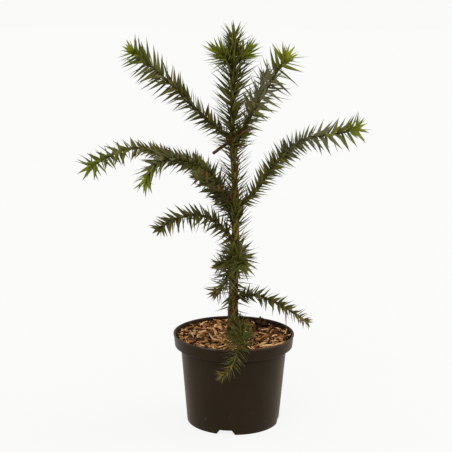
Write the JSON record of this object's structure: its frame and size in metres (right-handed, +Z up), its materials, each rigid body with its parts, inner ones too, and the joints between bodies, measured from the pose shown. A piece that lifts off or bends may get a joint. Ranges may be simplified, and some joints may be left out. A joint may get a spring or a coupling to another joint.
{
  "type": "potted monkey puzzle tree",
  "caption": "Young monkey puzzle conifer with drooping whorls of stiff pointed leaves, standing in a round black nursery pot topped with bark mulch",
  "frame": {"origin": "middle of the flat pad under the pot, on the surface that it stands on", "axes": "+Z up along the trunk, +X to the right and -Y to the front as the plant is usually seen"},
  "size_m": [0.5487, 0.3103, 0.7485],
  "materials": {
    "pot_plastic": "satin moulded",
    "compost": "loose peat compost",
    "bark_chips": "rough shredded bark",
    "trunk_bark": "rough young bark",
    "bough_bark": "green bark",
    "dark_foliage": "leathery leaf",
    "fresh_foliage": "leathery young leaf"
  },
  "bodies": {
    "root": {"pot": "pot_plastic", "potting_mix": "compost", "bark_mulch": "bark_chips", "trunk": "trunk_bark", "cut_stub": "trunk_bark", "bough_top_left": "bough_bark", "bough_top_right": "bough_bark", "bough_top_back": "bough_bark", "bough_mid_left": "bough_bark", "bough_mid_front": "bough_bark", "bough_mid_right": "bough_bark", "bough_mid_back_left": "bough_bark", "bough_mid_back": "bough_bark", "bough_low_left": "bough_bark", "bough_low_front": "bough_bark", "bough_low_front_left": "bough_bark", "bough_low_back": "bough_bark", "bough_short_left": "bough_bark", "bough_low_right": "bough_bark", "bough_foot_front": "bough_bark", "foliage_top_left": "dark_foliage", "foliage_top_right": "dark_foliage", "foliage_top_back": "dark_foliage", "foliage_mid_left": "dark_foliage", "foliage_mid_front": "dark_foliage", "foliage_mid_right": "dark_foliage", "foliage_mid_back_left": "dark_foliage", "foliage_mid_back": "dark_foliage", "foliage_low_left": "dark_foliage", "foliage_low_front": "dark_foliage", "foliage_low_front_left": "dark_foliage", "foliage_low_back": "dark_foliage", "foliage_short_left": "dark_foliage", "foliage_low_right": "dark_foliage", "foliage_foot_front": "dark_foliage", "foliage_trunk_low": "dark_foliage", "foliage_trunk_mid": "dark_foliage", "foliage_leader": "dark_foliage", "foliage_crown_left": "fresh_foliage", "foliage_crown_right": "fresh_foliage", "foliage_crown_back": "fresh_foliage", "foliage_leader_tip": "fresh_foliage"}
  },
  "joints": []
}
